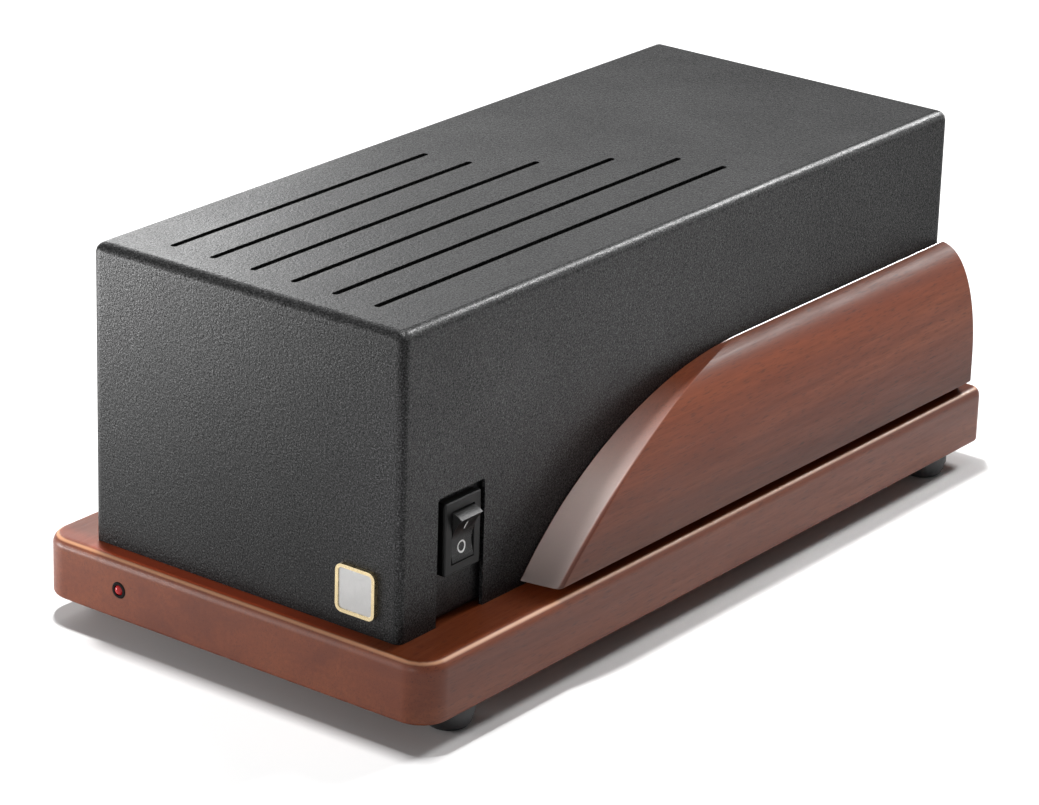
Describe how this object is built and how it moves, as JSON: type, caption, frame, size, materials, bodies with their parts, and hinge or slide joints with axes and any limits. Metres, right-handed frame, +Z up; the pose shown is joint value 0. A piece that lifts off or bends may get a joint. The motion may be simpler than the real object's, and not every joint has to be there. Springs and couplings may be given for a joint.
{
  "type": "phono preamp",
  "caption": "Phono preamplifier: tall folded steel cover with vent slots on a wooden base with curved cheeks; rocker switch, lamp, mains inlet and phono sockets.",
  "frame": {"origin": "on the surface the feet stand on, under the middle of the base board", "axes": "+Z up, front with lamp and badge towards -Y, rear panel towards +Y, mains switch on the +X side"},
  "size_m": [0.1386, 0.276, 0.1125],
  "materials": {
    "mahogany_board": "reddish-brown stain under satin lacquer",
    "mahogany_cheek": "reddish-brown stain under satin lacquer",
    "rubber_feet": "matte black rubber",
    "zinc_steel": "zinc-plated steel",
    "black_screw": "black oxide",
    "cover_powder": "charcoal-black fine powder coat",
    "chassis_powder": "black powder coat",
    "panel_powder": "black powder coat",
    "badge_brass": "satin brass",
    "badge_silver": "satin silver, plain",
    "led_ring_black": "matte black",
    "led_red": "clear red",
    "switch_black": "semi-gloss black",
    "rocker_black": "semi-gloss black",
    "tinned_brass": "tinned",
    "inlet_black": "matte black",
    "nickel_blades": "nickel-plated brass",
    "drawer_black": "matte black",
    "fuse_body": "clear tube with plated caps",
    "jack_gold": "gold-plated brass",
    "jack_insulator": "white insulating plastic",
    "nickel_post": "nickel-plated brass",
    "board_green": "glass-epoxy laminate",
    "nickel_standoff": "nickel-plated brass",
    "ceramic_socket": "glazed white ceramic",
    "valve_glass": "clear glass",
    "valve_plate": "carbonised grey nickel",
    "capacitor_sleeve": "dark blue sleeve",
    "capacitor_film": "red film box",
    "heatsink_black": "black anodised",
    "regulator_black": "moulded black",
    "core_steel": "varnished steel laminations",
    "winding_tape": "yellow tape over copper",
    "strap_steel": "zinc-plated steel"
  },
  "bodies": {
    "case": {"base_board": "mahogany_board", "cheek_left": "mahogany_cheek", "cheek_right": "mahogany_cheek", "feet": "rubber_feet", "foot_screws": "zinc_steel", "cheek_screws": "zinc_steel", "chassis_screws": "zinc_steel", "panel_screws": "zinc_steel", "transformer_screws": "zinc_steel", "pcb_screws": "zinc_steel", "cover_screws": "black_screw", "cover": "cover_powder", "chassis": "chassis_powder", "rear_panel": "panel_powder", "badge_rim": "badge_brass", "badge_plate": "badge_silver", "led_ring": "led_ring_black", "led_lens": "led_red", "switch_housing": "switch_black", "switch_terminals": "tinned_brass", "inlet_housing": "inlet_black", "inlet_blades": "nickel_blades", "jack_shells": "jack_gold", "jack_nuts": "jack_gold", "jack_insulators": "jack_insulator", "jack_contacts": "jack_gold", "ground_post": "nickel_post", "circuit_board": "board_green", "standoffs": "nickel_standoff", "valve_sockets": "ceramic_socket", "valve_glasses": "valve_glass", "valve_plates": "valve_plate", "filter_capacitors": "capacitor_sleeve", "coupling_capacitors": "capacitor_film", "heatsink": "heatsink_black", "regulator": "regulator_black", "rectifier": "regulator_black", "transformer_core": "core_steel", "transformer_winding": "winding_tape", "transformer_strap": "strap_steel"},
    "rocker": {"switch_rocker": "rocker_black"},
    "drawer": {"fuse_drawer": "drawer_black", "fuse_link": "fuse_body"},
    "washer": {"ground_washer": "nickel_post"},
    "thumb_nut": {"ground_nut": "nickel_post"}
  },
  "joints": [
    {"name": "power_rocker", "type": "hinge", "parent": "case", "child": "rocker", "pos_m": [0.05345, -0.1055, 0.0493], "axis": [0, -1, 0], "range_deg": [0, 24]},
    {"name": "fuse_drawer_slide", "type": "slide", "parent": "case", "child": "drawer", "axis": [0, 1, 0], "range_m": [0, 0.012]},
    {"name": "ground_nut_lift", "type": "slide", "parent": "case", "child": "washer", "axis": [0, 1, 0], "range_m": [0, 0.0028]},
    {"name": "ground_nut_turn", "type": "hinge", "parent": "washer", "child": "thumb_nut", "pos_m": [-0.02452, 0.132, 0.0885], "axis": [0, 1, 0], "range_deg": [0, 1440]}
  ],
  "couplings": [
    {"joint": "ground_nut_turn", "follows": "ground_nut_lift", "rad_per_m": 8975.9}
  ]
}
